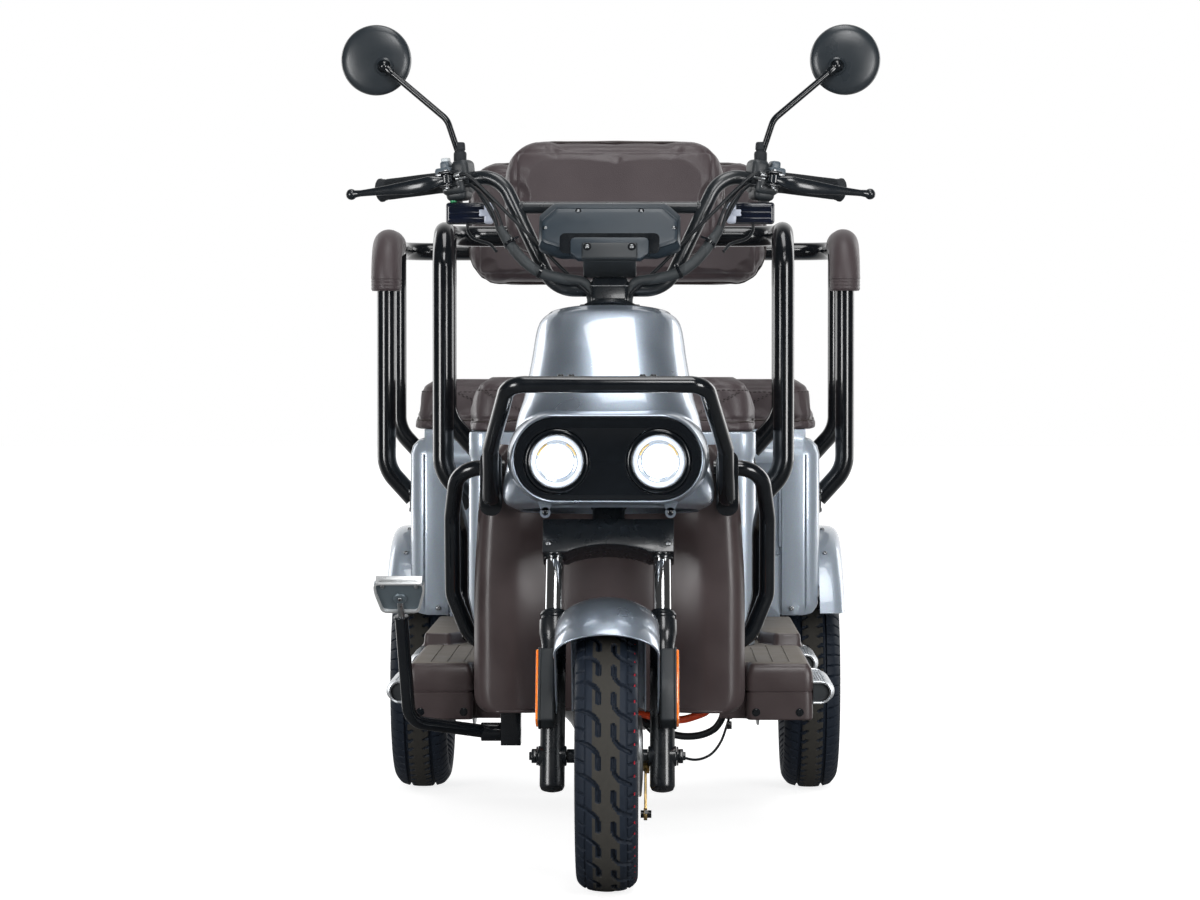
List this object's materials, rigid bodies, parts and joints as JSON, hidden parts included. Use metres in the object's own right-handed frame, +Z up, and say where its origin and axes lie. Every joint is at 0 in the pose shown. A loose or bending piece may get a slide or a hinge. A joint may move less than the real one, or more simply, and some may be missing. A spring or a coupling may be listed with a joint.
{
  "type": "electric tricycle",
  "caption": "Electric passenger tricycle with a raked sprung fork, round headlamps, leg shield, flat foot board, two lidded bench seats with armrest frames and a sprung driven rear axle.",
  "frame": {"origin": "on the ground, in the middle of the machine's length and width", "axes": "+Z up, -Y towards the front wheel, +X towards the rider's left"},
  "size_m": [0.859, 1.813, 1.276],
  "materials": {
    "silver_plastic": "painted metallic silver-blue, glossy",
    "black_steel": "gloss black powder coat",
    "black_aluminium": "black painted casting",
    "black_plastic": "fine grained",
    "brown_plastic": "fine grained dark brown",
    "brown_leather": "dark brown, soft sheen",
    "tyre_rubber": "matt",
    "grip_rubber": "matt",
    "loom_rubber": "tape wrapped",
    "aluminium": "satin",
    "steel": "zinc plated",
    "lamp_glass": "clear lens over a bright reflector"
  },
  "bodies": {
    "chassis": {"main_frame": "black_steel", "front_cowl": "silver_plastic", "lamp_panel": "black_plastic", "headlamp_left": "lamp_glass", "headlamp_right": "lamp_glass", "leg_shield": "brown_plastic", "inner_panel": "brown_plastic", "front_guard": "black_steel", "crash_bar_left": "black_steel", "crash_bar_right": "black_steel", "driver_armrest_frame": "black_steel", "rear_armrest_frame": "black_steel", "armrest_pad_left": "brown_leather", "armrest_pad_right": "brown_leather", "driver_backrest": "brown_leather", "rear_backrest": "brown_leather", "foot_board": "brown_plastic", "side_step_front_left": "aluminium", "side_step_front_right": "aluminium", "side_step_rear_left": "aluminium", "side_step_rear_right": "aluminium", "seat_box": "silver_plastic", "battery_pack": "black_plastic", "rear_body": "silver_plastic", "motor_controller": "aluminium", "rear_fender_left": "silver_plastic", "rear_fender_right": "silver_plastic", "rear_spring_left": "steel", "rear_spring_right": "steel"},
    "steering": {"steering_fork": "black_steel", "handlebar": "black_steel", "left_grip": "grip_rubber", "control_perch_left": "black_plastic", "control_perch_right": "black_plastic", "turn_signal_left": "black_plastic", "turn_signal_right": "black_plastic", "dash_housing": "black_plastic", "wiring_loom_left": "loom_rubber", "wiring_loom_right": "loom_rubber"},
    "fork_slider": {"fork_leg_left": "black_aluminium", "fork_leg_right": "black_aluminium", "front_axle": "steel", "front_fender": "silver_plastic"},
    "front_wheel": {"front_tyre": "tyre_rubber", "front_rim": "aluminium"},
    "throttle": {"throttle_grip": "grip_rubber"},
    "left_lever": {"brake_lever_left": "black_aluminium"},
    "right_lever": {"brake_lever_right": "black_aluminium"},
    "left_mirror": {"mirror_left": "black_plastic"},
    "right_mirror": {"mirror_right": "black_plastic"},
    "button": {"start_button": "black_plastic"},
    "key": {"ignition_key": "steel"},
    "axle": {"rear_axle": "black_aluminium"},
    "left_wheel": {"rear_tyre_left": "tyre_rubber", "rear_rim_left": "aluminium"},
    "right_wheel": {"rear_tyre_right": "tyre_rubber", "rear_rim_right": "aluminium"},
    "pedal": {"brake_pedal": "black_steel"},
    "driver_lid": {"driver_seat": "brown_leather"},
    "rear_lid": {"rear_seat": "brown_leather"}
  },
  "joints": [
    {"name": "steering", "type": "hinge", "parent": "chassis", "child": "steering", "pos_m": [0, -0.7135, 0.193], "axis": [0, 0.4226, 0.9063], "range_deg": [-35, 35]},
    {"name": "fork_slide", "type": "slide", "parent": "steering", "child": "fork_slider", "axis": [0, 0.4226, 0.9063], "range_m": [0, 0.055], "stiffness_N_per_m": 12000, "springref_m": -0.06},
    {"name": "front_wheel_spin", "type": "hinge", "parent": "fork_slider", "child": "front_wheel", "pos_m": [0, -0.7135, 0.193], "axis": [1, 0, 0], "continuous": true},
    {"name": "throttle_twist", "type": "hinge", "parent": "steering", "child": "throttle", "pos_m": [-0.357, -0.2935, 1.024], "axis": [-0.9255, 0.3672, -0.093], "range_deg": [0, 70], "stiffness_Nm_per_rad": 0.2, "springref_deg": -28.65},
    {"name": "left_lever_pull", "type": "hinge", "parent": "steering", "child": "left_lever", "pos_m": [0.24904, -0.37938, 1.03634], "axis": [0.0865, 0.0343, 0.9957], "range_deg": [0, 11], "stiffness_Nm_per_rad": 2, "springref_deg": -22.92},
    {"name": "right_lever_pull", "type": "hinge", "parent": "steering", "child": "right_lever", "pos_m": [-0.24904, -0.37938, 1.03634], "axis": [0.0865, -0.0343, -0.9957], "range_deg": [0, 11], "stiffness_Nm_per_rad": 2, "springref_deg": -22.92},
    {"name": "left_mirror_turn", "type": "hinge", "parent": "steering", "child": "left_mirror", "pos_m": [0.347, -0.3475, 1.211], "axis": [0, 0, 1], "range_deg": [-10, 10]},
    {"name": "right_mirror_turn", "type": "hinge", "parent": "steering", "child": "right_mirror", "pos_m": [-0.347, -0.3475, 1.211], "axis": [0, 0, 1], "range_deg": [-10, 10]},
    {"name": "start_button_press", "type": "slide", "parent": "steering", "child": "button", "axis": [-0.3688, -0.9295, 0], "range_m": [0, 0.002], "stiffness_N_per_m": 400, "springref_m": -0.002},
    {"name": "key_turn", "type": "hinge", "parent": "chassis", "child": "key", "pos_m": [0.07, -0.3385, 0.56], "axis": [0, -1, 0], "range_deg": [0, 90]},
    {"name": "rear_axle_travel", "type": "slide", "parent": "chassis", "child": "axle", "axis": [0, 0, 1], "range_m": [0, 0.045], "stiffness_N_per_m": 40000, "springref_m": -0.04, "deforming": ["rear_spring_left", "rear_spring_right"]},
    {"name": "left_wheel_spin", "type": "hinge", "parent": "axle", "child": "left_wheel", "pos_m": [0.345, 0.5665, 0.195], "axis": [1, 0, 0], "continuous": true},
    {"name": "right_wheel_spin", "type": "hinge", "parent": "axle", "child": "right_wheel", "pos_m": [-0.345, 0.5665, 0.195], "axis": [1, 0, 0], "continuous": true},
    {"name": "brake_pedal_press", "type": "hinge", "parent": "chassis", "child": "pedal", "pos_m": [-0.149, -0.4325, 0.199], "axis": [1, 0, 0], "range_deg": [0, 18], "stiffness_Nm_per_rad": 30, "springref_deg": -20.05},
    {"name": "driver_seat_lift", "type": "hinge", "parent": "chassis", "child": "driver_lid", "pos_m": [0, -0.0855, 0.647], "axis": [1, 0, 0], "range_deg": [0, 70]},
    {"name": "rear_seat_lift", "type": "hinge", "parent": "chassis", "child": "rear_lid", "pos_m": [0, 0.3445, 0.6442], "axis": [1, 0, 0], "range_deg": [0, 60]}
  ]
}
